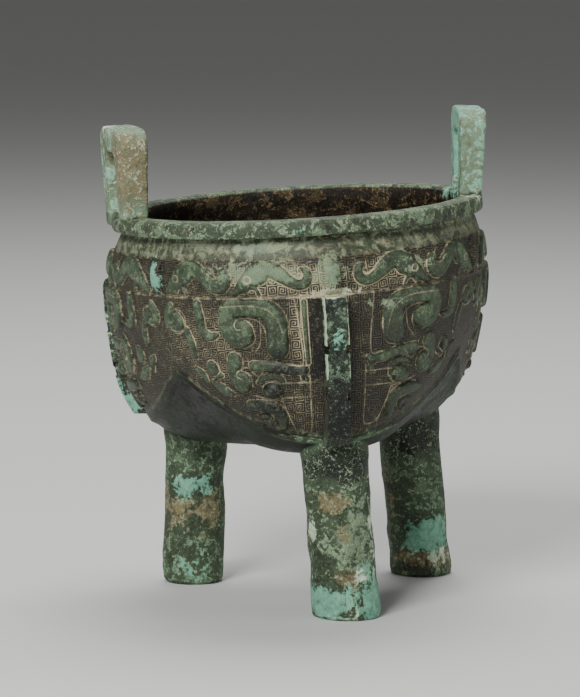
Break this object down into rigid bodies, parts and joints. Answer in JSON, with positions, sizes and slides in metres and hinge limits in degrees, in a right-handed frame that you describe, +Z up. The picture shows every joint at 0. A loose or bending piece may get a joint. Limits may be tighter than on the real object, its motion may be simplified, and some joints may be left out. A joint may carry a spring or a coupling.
{
  "type": "bronze ding vessel",
  "caption": "Lobed bronze tripod cauldron with upright rim handles, notched flanges and raised animal masks, cast in one piece.",
  "frame": {"origin": "on the floor under the middle of the vessel's own box, at the level of its three feet", "axes": "+Z up, the front leg towards -Y, the handles on -X and +X"},
  "size_m": [0.1684, 0.1718, 0.2106],
  "materials": {
    "bronze": "buried bronze with green patina and brown sediment, dull"
  },
  "bodies": {
    "root": {"ding_vessel": "bronze"}
  },
  "joints": []
}
